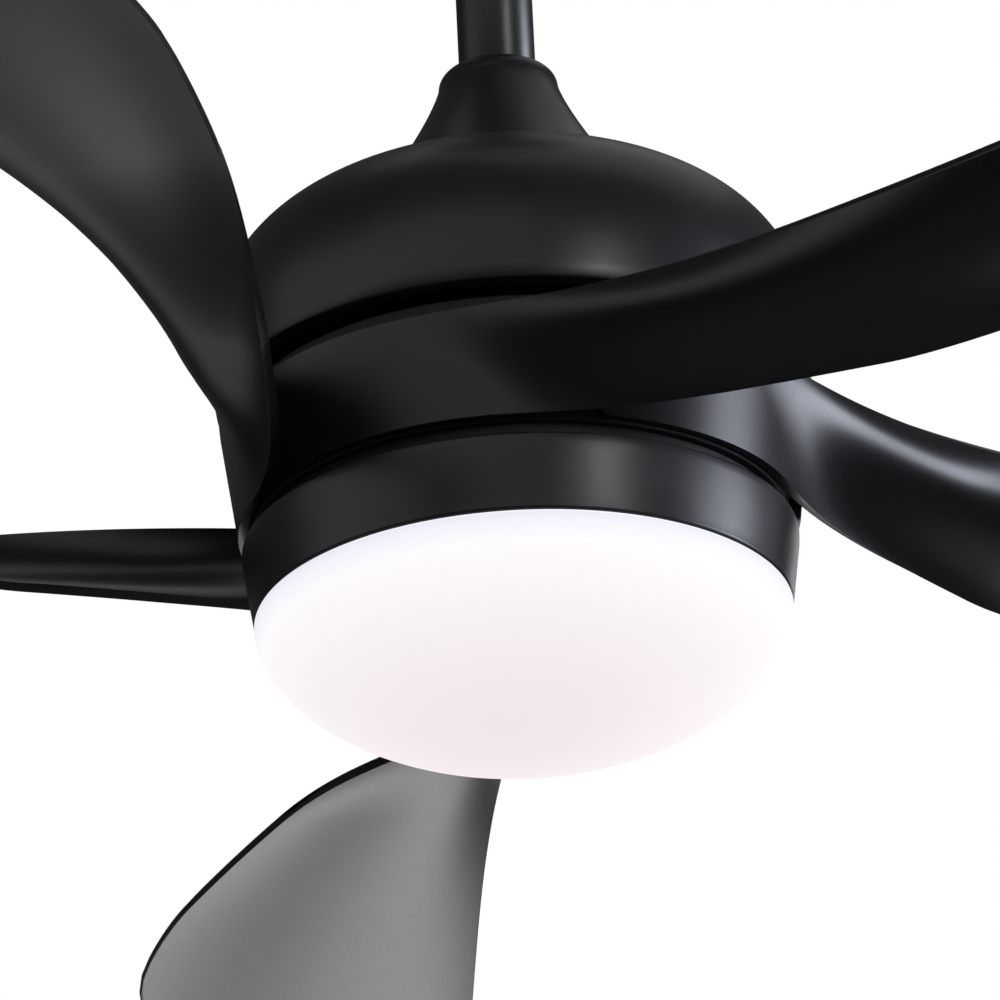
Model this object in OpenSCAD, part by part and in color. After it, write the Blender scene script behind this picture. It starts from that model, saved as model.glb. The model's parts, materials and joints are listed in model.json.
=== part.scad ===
// Five-blade ceiling fan with a light, hung from a ceiling bracket on a short downrod.
// Millimetres. Z is up, and z = 0 is the ceiling. Everything hangs below it.

/* [Ceiling bracket] */
// Length of the steel ceiling plate
plate_len = 126; // [124:0.5:128]
// Width of the ceiling plate
plate_w = 38; // [32:1:40]
// Steel thickness of the bracket
plate_t = 2.5; // [2:0.1:3]
// Distance between the two ceiling box slots
box_hole_spacing = 88.9; // [86:0.1:90]
// Width of each slot
slot_w = 5.5; // [4.5:0.1:6]
// End-to-end length of each slot
slot_len = 12; // [9:0.5:13]
// From the ceiling down to the centre of the hanger ball
ball_drop = 55; // [54:0.5:56]
// Radius of the hanger ball
ball_r = 30; // [29.5:0.1:30]

/* [Canopy] */
// Radius of the canopy at the ceiling
canopy_r = 68; // [68:0.1:68.2]
// Height of the canopy
canopy_h = 84; // [84:0.5:92]
// Radius of the hole that the downrod hangs through
canopy_hole_r = 27; // [25:0.5:29]
// Sheet thickness of the canopy
canopy_t = 1.2; // [0.9:0.1:1.4]

/* [Downrod] */
// Outer diameter of the pipe
rod_d = 26.7; // [26.3:0.1:26.7]
// Wall thickness of the pipe
rod_wall = 2.9; // [2:0.1:3]
// Length of the downrod
rod_len = 254; // [150:1:900]

/* [Motor housing] */
// Height from the rim of the dome to its flat top
dome_h = 76.2; // [75:0.1:77]
// Sheet thickness of the dome
dome_t = 1.6; // [1.2:0.1:2]
// Height of the bell-shaped cover over the coupling
cover_h = 50.3; // [49:0.1:52]
// Radius of the foot of the coupling cover
cover_foot_r = 45; // [43:0.5:46]

/* [Body] */
// Radius of the light ring at its lower lip
lip_r = 91.4; // [91:0.1:92]
// How much the body widens for each millimetre of height
skin_slope = 0.128; // [0.12:0.002:0.14]
// Height of the light ring
ring_h = 26.5; // [26:0.5:28]
// Open gap between the light ring and the blade band
lower_gap = 6; // [5:0.5:7]
// Height of the band that the blade roots form
band_h = 37; // [36:0.5:38]
// Open gap between the blade band and the dome
upper_gap = 10; // [9:0.5:11]

/* [Blades] */
// Number of blades
blade_count = 5; // [5:1:5]
// Radius of the circle that the blade tips sweep
tip_r = 559; // [545:1:575]
// Thickness of a blade at its root
blade_t = 4; // [3.5:0.1:4]
// Thickness of a blade at its tip
blade_tip_t = 2.5; // [2:0.1:4]
// Direction of the first blade's leading corner
first_blade_angle = -51; // [-180:1:180]
// Pitch drop across the blade at its tip
tip_drop = 24.8; // [20:0.1:30]
// How far the leading edge falls from root to tip
lead_fall = 18.4; // [10:0.1:20]
// How far the blade bellies out between its edges
blade_belly = 10.2; // [8:0.1:12]

/* [Light] */
// Radius of the lens bowl, just under the lip of the ring
bowl_r = 91.2; // [91:0.1:91.4]
// Depth of the lens bowl
lens_depth = 47; // [40:1:50]
// Wall thickness of the lens
lens_t = 2.2; // [1.8:0.1:2.4]

/* [Hidden] */
$fn = 96;

black = "#222326";
dark = "#151516";
steel = "#8d9094";
zinc = "#b3b6b8";
copper = "#b0693a";

eps = 0.01;            // cutters run past a face by this much or more
gap = 0.3;             // gap between surfaces of bodies that move apart
fit = 0.05;            // radial clearance of a shaft in its bore

// Heights, from the ceiling down
z_ball = -ball_drop;
ball_half_h = 22;
z_rod_top = z_ball + ball_half_h;
z_rod_end = z_rod_top - rod_len;
z_dome_top = z_rod_end - 12.3;
z_dome_rim = z_dome_top - dome_h;
z_band_top = z_dome_rim - upper_gap;
z_band_low = z_band_top - band_h;
z_ring_top = z_band_low - lower_gap;
z_lip = z_ring_top - ring_h;
z_motor = z_lip + 75;  // joint face between the blade hub and the motor

// Ceiling bracket
leg_x = 34;            // outer face of each bracket leg
leg_w = 30;
wire_hole_r = 11;
cup_r = 33;
cup_depth = 24;
cup_hole_r = 22;
cup_slot_w = 30;
canopy_screw_z = -9;
canopy_screw_r = 1.95;
groove_w = 5;
groove_floor_r = 26;
tab_w = 4.2;

// Downrod and coupling
rod_r = rod_d / 2;
rod_bore_r = rod_r - rod_wall;
sleeve_r = 17.5;
shaft_r = 10;
shaft_bore_r = 7.6;
pin_r = 3;
z_top_pin = z_ball + 10;
z_coupling_pin = z_rod_end + 10;
z_set_screw = z_rod_end + 17;
z_collar_top = z_dome_top - dome_t - 0.4;
collar_t = 4;
dome_screw_ring_r = 33;

// Motor
core_h = 24;
core_r = 59.2;
tooth_count = 12;
tooth_w = 7;
coil_t = 3.5;
magnet_r = 63.9;
bell_r = 68;
bell_t = 3;
bearing_r = 21;
bearing_h = 12;
z_lower_bearing = z_motor + 1.6;
z_upper_bearing = z_motor + 42.4;
z_core = z_motor + 17;

// Light
pan_t = 2;
z_pan = z_lip + 21.8;
pan_r = 86;
lens_r = lip_r - 1.2;
lens_rim_h = 8;
z_bowl = z_lip - gap;
catch_count = 3;

function clamp01(x) = min(1, max(0, x));
function smooth(x) = let (t = clamp01(x)) t * t * (3 - 2 * t);
function mix(a, b, t) = a + (b - a) * t;
// Outer radius of the tapered body at height z
function skin_r(z) = lip_r + skin_slope * (z - z_lip);

// ---------- shapes used more than once ----------
module ring(r_out, r_in, h) {
    difference() {
        cylinder(r = r_out, h = h);
        translate([0, 0, -1]) cylinder(r = r_in, h = h + 2);
    }
}

module rounded_box(x, y, z, r) {
    translate([-x / 2 + r, -y / 2, 0]) cube([x - 2 * r, y, z]);
    translate([-x / 2, -y / 2 + r, 0]) cube([x, y - 2 * r, z]);
    for (sx = [-1, 1], sy = [-1, 1])
        translate([sx * (x / 2 - r), sy * (y / 2 - r), 0]) cylinder(r = r, h = z);
}

// Pan-head screw, head up, with its seat at z = 0 and a hexagon socket
module pan_screw(shaft_r, head_r, head_h, len) {
    difference() {
        union() {
            translate([0, 0, -len]) cylinder(r = shaft_r, h = len + eps);
            cylinder(r1 = head_r, r2 = head_r * 0.8, h = head_h);
        }
        translate([0, 0, head_h * 0.4]) cylinder(r = head_r * 0.45, h = head_h, $fn = 6);
    }
}

module around(count, start = 0) {
    for (i = [0 : count - 1]) rotate(start + i * 360 / count) children();
}

// ---------- ceiling side ----------
// Plate against the ceiling, with a tongue for the receiver and a bent flap at each end
module ceiling_plate() {
    color(zinc) difference() {
        union() {
            translate([-plate_len / 2, -plate_w / 2, -plate_t]) cube([plate_len, plate_w, plate_t]);
            translate([-15, -58, -plate_t]) cube([30, 40, plate_t]);
            for (s = [-1, 1]) translate([s * (plate_len - plate_t) / 2 - plate_t / 2, -10, -16])
                cube([plate_t, 20, 16 - eps]);
        }
        translate([0, 0, -plate_t - 1]) cylinder(r = wire_hole_r, h = plate_t + 2);
        for (s = [-1, 1]) {
            translate([s * box_hole_spacing / 2, 0, -plate_t - 1]) ceiling_slot();
            translate([s * (plate_len / 2 - 6), 0, canopy_screw_z]) rotate([0, s * 90, 0])
                cylinder(r = canopy_screw_r + fit, h = 8);
        }
    }
}

// Two legs welded under the plate, and the open cup between them that the ball rests in
module hanger_bracket() {
    color(zinc) difference() {
        union() {
            for (s = [-1, 1])
                translate([s * (leg_x - plate_t / 2) - plate_t / 2, -leg_w / 2, z_ball - cup_depth])
                    cube([plate_t, leg_w, ball_drop + cup_depth - plate_t]);
            translate([0, 0, z_ball - cup_depth]) cylinder(r = cup_r, h = cup_depth);
        }
        translate([0, 0, z_ball]) sphere(r = ball_r + gap);
        translate([0, 0, z_ball - cup_depth - 1]) cylinder(r = cup_hole_r, h = cup_depth);
        translate([-cup_slot_w / 2, 0, z_ball - cup_depth - 1]) cube([cup_slot_w, 50, cup_depth + 2]);
    }
    // Tab that keeps the ball from turning about the downrod
    color(zinc) translate([-tab_w / 2, -ball_r - 2, z_ball - 17]) cube([tab_w, 5, 6]);
}

module ceiling_slot() {
    reach = (slot_len - slot_w) / 2;
    translate([-reach, -slot_w / 2, 0]) cube([2 * reach, slot_w, plate_t + 2]);
    for (s = [-1, 1]) translate([s * reach, 0, 0]) cylinder(r = slot_w / 2, h = plate_t + 2);
}

module canopy_screws() {
    color(steel) for (s = [-1, 1])
        translate([s * (canopy_r + gap), 0, canopy_screw_z]) rotate([0, s * 90, 0])
            pan_screw(canopy_screw_r, 4, 2.4, 9);
}

module receiver() {
    color(dark) {
        translate([0, -47, -plate_t - 38]) rounded_box(60, 18, 38, 3);
        for (s = [-1, 1]) translate([s * 20, -47, -plate_t - 38 - 4]) cylinder(r = 3, h = 4 + eps);
    }
}

// Canopy wall, moved inwards by inset
function canopy_curve(inset) =
    let (shoulder_z = -canopy_h + 39, rise = 39 - inset, out = canopy_r - 32 - inset)
    [for (a = [0 : 6 : 90]) [32 + out * cos(a), shoulder_z - rise * sin(a)]];

module canopy() {
    outer = canopy_curve(0);
    inner = canopy_curve(canopy_t);
    profile = concat(
        [[canopy_r, -0.5]], outer, [[canopy_hole_r, -canopy_h], [canopy_hole_r, -canopy_h + canopy_t]],
        [for (i = [len(inner) - 1 : -1 : 0]) inner[i]], [[canopy_r - canopy_t, -0.5]]);
    color(black) difference() {
        rotate_extrude() polygon(profile);
        for (s = [-1, 1]) translate([s * canopy_r, 0, 0]) {
            translate([-8, -2.4, canopy_screw_z]) cube([16, 4.8, 10]);
            translate([-8, 0, canopy_screw_z]) rotate([0, 90, 0]) cylinder(r = 2.4, h = 16);
        }
    }
}

// ---------- downrod and coupling ----------
module hanger_ball() {
    color(dark) difference() {
        translate([0, 0, z_ball]) intersection() {
            sphere(r = ball_r);
            translate([-40, -40, -ball_half_h]) cube([80, 80, 2 * ball_half_h - 0.5]);
        }
        translate([0, 0, z_ball - 40]) cylinder(r = rod_r + fit, h = 80);
        translate([-40, 0, z_top_pin]) rotate([0, 90, 0]) cylinder(r = pin_r + fit, h = 80);
        translate([0, rod_r - 1, z_ball - 6]) rotate([-90, 0, 0]) cylinder(r = 2.5 + fit, h = 40);
        // Groove for the bracket's tab, round about the tilt axis
        translate([-groove_w / 2, 0, z_ball]) rotate([0, 90, 0]) difference() {
            cylinder(r = ball_r + 2, h = groove_w);
            translate([0, 0, -1]) cylinder(r = groove_floor_r, h = groove_w + 2);
            translate([-50, 0, -1]) cube([100, 50, groove_w + 2]);
        }
    }
}

module ball_pin() {
    color(steel) translate([-26.5, 0, z_top_pin]) rotate([0, 90, 0]) cylinder(r = pin_r, h = 53);
}

module ball_set_screw() {
    color(steel) translate([0, rod_r + fit, z_ball - 6]) rotate([-90, 0, 0]) difference() {
        cylinder(r = 2.5, h = 12);
        translate([0, 0, 9]) cylinder(r = 1.3, h = 4, $fn = 6);
    }
}

module downrod() {
    color(black) difference() {
        translate([0, 0, z_rod_end]) ring(rod_r, rod_bore_r, rod_len);
        for (z = [z_top_pin, z_coupling_pin])
            translate([-30, 0, z]) rotate([0, 90, 0]) cylinder(r = pin_r + 2 * fit, h = 60);
    }
}

module motor_leads() {
    colours = ["#d8d8d6", "#3b6fb0", "#1b1b1b"];
    for (i = [0 : 2]) rotate(90 + (i - 1) * 28) color(colours[i])
        translate([5.7, 0, z_rod_end - 50]) cylinder(r = 1.1, h = rod_len + 55, $fn = 24);
}

module lead_connector() {
    color("#d8d8d6") translate([0, 5, z_rod_top + 5]) rounded_box(14, 9, 12, 1.5);
}

module coupling() {
    z_low = z_dome_top - 10;
    color(steel) difference() {
        translate([0, 0, z_low]) cylinder(r = sleeve_r, h = z_rod_end + 24 - z_low);
        translate([0, 0, z_rod_end - gap]) cylinder(r = rod_r + 2 * fit, h = 40);
        translate([0, 0, z_low - 1]) cylinder(r = shaft_r + fit, h = z_rod_end - 8 - z_low + 1);
        translate([0, 0, z_low]) cylinder(r = 8.4, h = 40);
        translate([-30, 0, z_coupling_pin]) rotate([0, 90, 0]) cylinder(r = pin_r + 2 * fit, h = 60);
        translate([0, -30, z_set_screw]) rotate([-90, 0, 0]) cylinder(r = 3 + fit, h = 60);
    }
}

module coupling_pin() {
    color(zinc) translate([0, 0, z_coupling_pin]) difference() {
        union() {
            translate([-sleeve_r, 0, 0]) rotate([0, 90, 0]) cylinder(r = pin_r, h = 2 * sleeve_r + 4);
            translate([-sleeve_r - 2.2, 0, 0]) rotate([0, 90, 0]) cylinder(r = 4.6, h = 2.2);
        }
        translate([sleeve_r + 1.8, 0, -5]) cylinder(r = 1, h = 10);
    }
}

module pin_clip() {
    color(steel) translate([sleeve_r + 1.8, 0, z_coupling_pin]) {
        translate([0, 0, -6]) cylinder(r = 0.9, h = 12);
        translate([0, 5, -2]) cylinder(r = 0.9, h = 8);
        translate([0, 2.5, 6]) rotate([0, -90, 0]) rotate([0, 0, -90])
            rotate_extrude(angle = 180) translate([2.5, 0]) circle(r = 0.9, $fn = 32);
    }
}

module coupling_set_screws() {
    color(steel) for (s = [-1, 1]) translate([0, s * (rod_r + fit), z_set_screw])
        rotate([-s * 90, 0, 0]) difference() {
            cylinder(r = 3, h = 6.5);
            translate([0, 0, 4]) cylinder(r = 1.7, h = 4, $fn = 6);
        }
}

// Bell-shaped cover: a rounded shoulder at the rod over a flaring skirt
shoulder_h = 6.4;
neck_r = 20.8;
function cover_curve(inset) =
    let (skirt_h = cover_h - shoulder_h, steps = 14)
    concat(
        [for (i = [0 : steps]) let (h = skirt_h * i / steps)
            [neck_r + (cover_foot_r - neck_r) * pow(1 - h / skirt_h, 1.26) - inset, h]],
        [for (a = [15 : 15 : 75]) [rod_r + gap + (neck_r - rod_r - gap - inset) * cos(a),
            skirt_h + (shoulder_h - inset) * sin(a)]],
        [[rod_r + gap, cover_h - inset]]);

module coupling_cover() {
    inner = cover_curve(1.5);
    profile = concat(cover_curve(0), [for (i = [len(inner) - 1 : -1 : 0]) inner[i]]);
    color(black) translate([0, 0, z_dome_top + gap]) rotate_extrude() polygon(profile);
}

module mounting_collar() {
    color(steel) difference() {
        translate([0, 0, z_collar_top - collar_t]) ring(44, sleeve_r + fit, collar_t);
        around(4, 45) translate([dome_screw_ring_r, 0, z_collar_top - 10]) cylinder(r = 2.05, h = 20);
    }
}

// Crown of the dome: the body's taper times a rounded shoulder
crown_h = 78.9;
crown_round = 2.7;
crown_power = 0.375;
function dome_r(t) = skin_r(z_dome_rim + crown_h * t) * pow(1 - pow(t, crown_round), crown_power);
function dome_curve(inset, steps) = let (t_top = (dome_h) / crown_h)
    [for (i = [0 : steps]) let (t = t_top * (1 - pow(1 - i / steps, 1.6)))
        [dome_r(t) - inset * (1 - 0.75 * pow(t / t_top, 4)),
         z_dome_rim + crown_h * t - inset * pow(t / t_top, 2)]];

module dome_housing() {
    outer = dome_curve(0, 22);
    inner = dome_curve(dome_t, 22);
    hole_r = 28;
    profile = concat(
        [[skin_r(z_dome_rim) - 1, z_dome_rim - eps]], outer,
        [[hole_r, z_dome_top], [hole_r, z_dome_top - dome_t]],
        [for (i = [len(inner) - 1 : -1 : 2]) inner[i]],
        [[inner[1][0], z_dome_rim + 2], [skin_r(z_dome_rim) - 6, z_dome_rim + 2],
         [skin_r(z_dome_rim) - 6, z_dome_rim - eps]]);
    color(black) difference() {
        rotate_extrude() polygon(profile);
        around(4, 45) translate([dome_screw_ring_r, 0, z_dome_top - 10]) cylinder(r = 2.3, h = 20);
    }
}

module dome_screws() {
    color(steel) around(4, 45) translate([dome_screw_ring_r, 0, z_dome_top])
        pan_screw(2, 3.6, 2, 8);
}

// ---------- motor ----------
module motor_shaft() {
    color(steel) translate([0, 0, z_lip + 13.5]) ring(shaft_r, shaft_bore_r, z_rod_end - 9 - z_lip - 13.5);
}

module stator_core() {
    tooth_len = core_r - 4;
    color("#6c6f73") translate([0, 0, z_core]) {
        ring(25, shaft_r + 0.02, core_h);
        around(tooth_count) translate([24, -tooth_w / 2, 0]) cube([tooth_len - 24, tooth_w, core_h]);
        around(tooth_count) intersection() {
            ring(core_r, core_r - 6, core_h);
            translate([40, -12, -1]) cube([30, 24, core_h + 2]);
        }
    }
}

module stator_windings() {
    inner_w = tooth_w + 0.4;
    lap = coil_t + 0.4;
    color(copper) translate([0, 0, z_core]) around(tooth_count) difference() {
        translate([30, -inner_w / 2 - coil_t, -lap]) cube([19, inner_w + 2 * coil_t, core_h + 2 * lap]);
        translate([29, -inner_w / 2, -0.2]) cube([21, inner_w, core_h + 0.4]);
    }
}

module bearing(z) {
    color(zinc) translate([0, 0, z]) difference() {
        ring(bearing_r, shaft_r + fit, bearing_h);
        for (h = [-1, bearing_h - 0.6]) translate([0, 0, h]) ring(bearing_r - 3, shaft_r + 3, 1.6);
    }
}
module upper_bearing() bearing(z_upper_bearing);
module lower_bearing() bearing(z_lower_bearing);

module magnet_ring() {
    color(dark) translate([0, 0, z_core - 2]) ring(magnet_r, core_r + 0.8, core_h + 4);
}

// End bell of the motor: disc, outer wall and bearing seat, opening upwards
module end_bell(wall_h, seat_h) {
    ring(bell_r, bearing_r - 1.5, bell_t / 2);
    ring(bell_r, bearing_r + fit, bell_t);
    ring(bearing_r + 4, bearing_r + fit, seat_h);
    ring(bell_r, bell_r - 4, wall_h);
}

module bell_screw_holes() {
    around(4, 22.5) translate([bell_r - 2, 0, -50]) cylinder(r = 1.3, h = 150, $fn = 24);
}

module rotor_bottom() {
    color("#9a9da1") difference() {
        translate([0, 0, z_motor]) end_bell(25, 13.6);
        translate([0, 0, z_motor]) bell_screw_holes();
        hub_screw_holes(2.1);
    }
}

module rotor_top() {
    z_top = z_upper_bearing + bearing_h + 1.6;
    color("#9a9da1") difference() {
        translate([0, 0, z_top]) mirror([0, 0, 1]) end_bell(z_top - z_motor - 25, 13.6);
        translate([0, 0, z_motor]) bell_screw_holes();
    }
}

module bell_screws() {
    z_top = z_upper_bearing + bearing_h + 1.6;
    color(steel) around(4, 22.5) translate([bell_r - 2.2, 0, z_top]) intersection() {
        translate([0.2, 0, 0]) pan_screw(1.25, 2.6, 1.8, 40);
        translate([-5, -5, -50]) cube([7.2, 10, 60]);
    }
}

hub_screw_ring_r = 45;
module hub_screw_holes(r) {
    around(blade_count, first_blade_angle) translate([hub_screw_ring_r, 0, z_motor - 10])
        cylinder(r = r, h = 20);
}

// Drum that carries the blades, with a web bolted under the motor
hub_wall = 3.5;
module blade_hub() {
    z_foot = z_band_low - 4.5;
    z_head = z_dome_rim - 2.5;
    web_t = 4;
    seat = blade_t + 0.35;
    r_low = skin_r(z_band_low) - seat;
    r_top = skin_r(z_band_top) - seat;
    profile = [
        [r_low - 3, z_foot], [r_low - 3, z_band_low - 0.5], [r_low, z_band_low - 0.5],
        [r_top, z_band_top + 0.5], [r_top - 3, z_band_top + 0.5], [r_top - 3, z_head],
        [r_top - 6, z_head], [r_top - 6, z_motor], [27, z_motor], [27, z_motor - web_t],
        [r_top - 9, z_motor - web_t], [r_low - hub_wall - 2, z_band_low], [r_low - 5.5, z_foot]];
    color(dark) difference() {
        rotate_extrude() polygon(profile);
        hub_screw_holes(2.6);
        blade_screw_places() {
            cylinder(r = 2.15, h = 30, center = true);
            cylinder(r = 4.2, h = 20);
        }
    }
}

module hub_screws() {
    color(steel) around(blade_count, first_blade_angle)
        translate([hub_screw_ring_r, 0, z_motor - 4]) mirror([0, 0, 1]) pan_screw(2.05, 4.5, 3, 7);
}

// ---------- blades ----------
// A blade's outer face is a skin between a leading edge and a trailing edge. Both wrap the drum
// from the heel, leave it in a spiral and straighten towards the tip. Place along the blade is s:
// below 0 on the drum, 0 where the edges leave it, 1 at full reach.
blade_reach = 535;     // radius at which the sweep has straightened out
heel_angle = -94;      // heel to leading corner, about the axis
lead_wrap = 58.5;
trail_wrap = 57.6;
trail_lag = 18.3;        // leading edge to trailing edge at the tip
lead_dip = 0.4;         // first small fall of the leading edge
heel_s = -0.31;        // where the heel is, along s
heel_round = 4;        // corner radius of the heel
function edge_s(r, r0) = sqrt(max(0, r - r0) / (blade_reach - r0));
function unwrap(s, wrap, p) = -wrap * pow(max(0, 1 - s), p);
function heel_pull(angle_end, angle_s0, s) = mix(angle_s0, angle_end, s / heel_s);
function lead_angle(s) = s < 0 ? heel_pull(heel_angle, -lead_wrap, s) : unwrap(s, lead_wrap, 3.68);
function trail_angle(s) = s < 0 ? heel_pull(heel_angle, trail_lag - trail_wrap, s)
    : trail_lag + unwrap(s, trail_wrap, 2.74) - 35 * pow(max(0, s - 0.8), 1.5);
function lead_z(s) = z_band_top - lead_dip * smooth(s / 0.3)
    - (lead_fall - lead_dip) * smooth((s - 0.44) / 0.8);
function edge_drop(s) = mix(band_h + 0.9 * smooth(s / 0.3), tip_drop, smooth((s - 0.42) / 0.25));

// Where each line along the blade ends, v = 0 at the leading edge and 1 at the trailing edge
function end_r(v) = tip_r - 41 * pow(max(0, 1 - v / 0.45), 4) - 132 * (1 - sqrt(1 - pow(v, 4)));

// Radius and place s of a point that is s0, in [-1, 1], of the way along the line v
function line_r(s0, v) = let (r0 = skin_r(mix(z_band_top, z_band_low, v)))
    s0 <= 0 ? r0 : r0 + (end_r(v) - r0) * s0 * s0;
function line_s(s0, v) = s0 <= 0 ? s0 * -heel_s
    : edge_s(line_r(s0, v), skin_r(mix(z_band_top, z_band_low, v)));

// How far the face stands out from the straight lines between the edges
function belly(s, v) = s <= 0 ? 0
    : 6.75 * blade_belly * (v + 0.023) * pow(1 - v, 2) * smooth(s / 0.35) * (1 - 0.2 * pow(s, 4));

// Point between the edges, before the belly
function face_point(s0, v) =
    let (s = line_s(s0, v),
         a = mix(lead_angle(s), trail_angle(s), v),
         from_heel = (s0 + 1) * 80,
         pull = from_heel < heel_round
             ? heel_round - sqrt(heel_round * heel_round - pow(heel_round - from_heel, 2)) : 0,
         z = s0 <= 0 ? mix(z_band_top - pull, z_band_low + pull, v) : lead_z(s) - edge_drop(s) * v,
         r = s0 <= 0 ? skin_r(z) : line_r(s0, v),
         turn = first_blade_angle + a)
    [r * cos(turn), r * sin(turn), z];

function face_normal(s0, v) =
    let (d = 0.004,
         along = face_point(min(1, s0 + d), v) - face_point(max(-1, s0 - d), v),
         across = face_point(s0, min(1, v + d)) - face_point(s0, max(0, v - d)),
         n = cross(along, across))
    n / norm(n);

// The outer and the inner point of the blade at one place
function blade_skins(s0, v) =
    let (s = line_s(s0, v), n = face_normal(s0, v), outer = face_point(s0, v) - belly(s, v) * n)
    [outer, outer + mix(blade_t, blade_tip_t, smooth(s)) * n];

// Places of the cross lines: close together at the heel and where the blade leaves the drum
blade_rows = concat(
    [-1, -0.992, -0.98, -0.965, -0.95], [for (i = [1 : 7]) -0.95 + 0.95 * i / 8],
    [for (i = [0 : 26]) i / 26]);
blade_cols = [for (i = [0 : 11]) (1 - cos(180 * i / 11)) / 2];

module blade(index) {
    rows = len(blade_rows);
    cols = len(blade_cols);
    skins = [for (s = blade_rows, v = blade_cols) blade_skins(s, v)];
    points = [for (side = [0, 1], pair = skins) pair[side]];
    count = rows * cols;
    function at(i, j) = i * cols + j;
    faces = concat(
        [for (i = [0 : rows - 2], j = [0 : cols - 2]) each
            [[at(i, j), at(i, j + 1), at(i + 1, j + 1)], [at(i, j), at(i + 1, j + 1), at(i + 1, j)]]],
        [for (i = [0 : rows - 2], j = [0 : cols - 2]) each
            [[count + at(i, j), count + at(i + 1, j + 1), count + at(i, j + 1)],
             [count + at(i, j), count + at(i + 1, j), count + at(i + 1, j + 1)]]],
        [for (i = [0 : rows - 2], side = [0, 1])
            let (j = side * (cols - 1), a = at(i, j), b = at(i + 1, j)) each
            side == 0 ? [[a, b, count + b], [a, count + b, count + a]]
                      : [[a, count + b, b], [a, count + a, count + b]]],
        [for (j = [0 : cols - 2], end = [0, 1])
            let (i = end * (rows - 1), a = at(i, j), b = at(i, j + 1)) each
            end == 0 ? [[a, count + b, b], [a, count + a, count + b]]
                     : [[a, b, count + b], [a, count + b, count + a]]]);
    color(black) rotate(index * 360 / blade_count) polyhedron(points, faces, convexity = 6);
}

module blade_1() blade(0);
module blade_2() blade(1);
module blade_3() blade(2);
module blade_4() blade(3);
module blade_5() blade(4);

// Three screws hold each root, from inside the drum: x points inwards, towards the axis
module blade_screw_places() {
    z_mid = (z_band_top + z_band_low) / 2;
    for (i = [0 : blade_count - 1], place = [[-84, 9], [-84, -9], [-62, 0]])
        rotate(first_blade_angle + place[0] + i * 360 / blade_count)
            translate([skin_r(z_mid + place[1]) - blade_t - hub_wall - 1.4, 0, z_mid + place[1]])
                rotate([0, -90, 0]) children();
}

module blade_screws() {
    color(steel) blade_screw_places() pan_screw(2, 3.8, 2.4, 7.5);
}

// ---------- light ----------
module shaft_collar() {
    color(steel) translate([0, 0, z_pan + pan_t]) ring(15, shaft_r + fit, 8);
}

module light_pan() {
    color("#d9dadb") difference() {
        translate([0, 0, z_pan]) ring(pan_r, shaft_r + fit, pan_t);
        around(3, 30) translate([82, 0, z_pan - 1]) cylinder(r = 1.8, h = pan_t + 2);
        for (x = [-46, 46]) translate([x, -36, z_pan - 1]) cylinder(r = 1.3, h = pan_t + 2);
        translate([0, 40, z_pan - 1]) cylinder(r = 5, h = pan_t + 2);
    }
}

module shaft_washer() {
    color(zinc) translate([0, 0, z_pan - 1.5]) ring(15.5, shaft_r + fit, 1.5);
}

module shaft_nut() {
    color(zinc) translate([0, 0, z_pan - 7.5]) difference() {
        cylinder(r = 15, h = 6, $fn = 6);
        translate([0, 0, -1]) cylinder(r = shaft_r + fit, h = 8);
    }
}

module light_ring() {
    round_r = 1.8;
    round_z = z_lip + round_r * sin(60);
    inner_r = lip_r - 0.9;
    wall = 2.6;
    top_r = skin_r(z_ring_top);
    profile = concat(
        [[inner_r, z_lip]],
        [for (a = [-45 : 15 : 0]) [lip_r - round_r + round_r * cos(a), round_z + round_r * sin(a)]],
        [[top_r - 0.5, z_ring_top - 0.8], [top_r - 1.3, z_ring_top], [77, z_ring_top],
         [77, z_ring_top - 2.5], [top_r - wall, z_ring_top - 2.5], [inner_r, z_lip + 9]]);
    color(black) difference() {
        rotate_extrude() polygon(profile);
        around(3, 30) translate([82, 0, z_ring_top - 5]) cylinder(r = 1.75, h = 10);
    }
}

module ring_screws() {
    color(steel) around(3, 30) translate([82, 0, z_pan]) mirror([0, 0, 1]) pan_screw(1.7, 3.2, 1.8, 4.2);
}

board_t = 1.6;
module led_board() {
    color("#eceeee") difference() {
        translate([0, 0, z_pan - board_t]) ring(74, 17, board_t);
        for (x = [-46, 46]) translate([x, -36, z_pan - 5]) cylinder(r = 3.2, h = 10);
        translate([0, 40, z_pan - 5]) cylinder(r = 5, h = 10);
    }
}

module led_chips() {
    chip = [3.5, 2.8, 0.8];
    color("#f3e7a8") for (row = [[28, 8], [50, 12], [68, 20]]) around(row[1], 9)
        translate([row[0] - chip[0] / 2, -chip[1] / 2, z_pan - board_t - chip[2]]) cube(chip);
}

module led_driver() {
    color("#e4e5e6") difference() {
        translate([0, -36, z_pan + pan_t]) union() {
            rounded_box(84, 34, 22, 2);
            rounded_box(100, 14, 2.5, 3);
        }
        for (x = [-46, 46]) translate([x, -36, z_pan]) cylinder(r = 1.6, h = 10);
    }
}

module driver_screws() {
    color(steel) for (x = [-46, 46]) translate([x, -36, z_pan + pan_t + 2.5]) pan_screw(1.2, 2.6, 1.6, 6);
}

// Feet under the pan that hold the lugs of the lens
module lens_catches() {
    color(zinc) around(catch_count, 90) translate([0, 0, z_lip]) {
        intersection() {
            union() {
                translate([0, 0, 2]) ring(83.2, 81.7, 19.8);
                translate([0, 0, 2]) ring(86.5, 81.7, 1.5);
            }
            translate([60, -7, 0]) cube([40, 14, 30]);
        }
    }
}

// Lens: an upright rim inside the ring, a step out just under it, then the bowl
lens_round = 1.84;
function lens_curve(r, depth, steps) = [for (i = [0 : steps]) let (a = 90 * i / steps)
    [r * pow(cos(a), 2 / lens_round), z_bowl - depth * pow(sin(a), 2 / lens_round)]];

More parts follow.
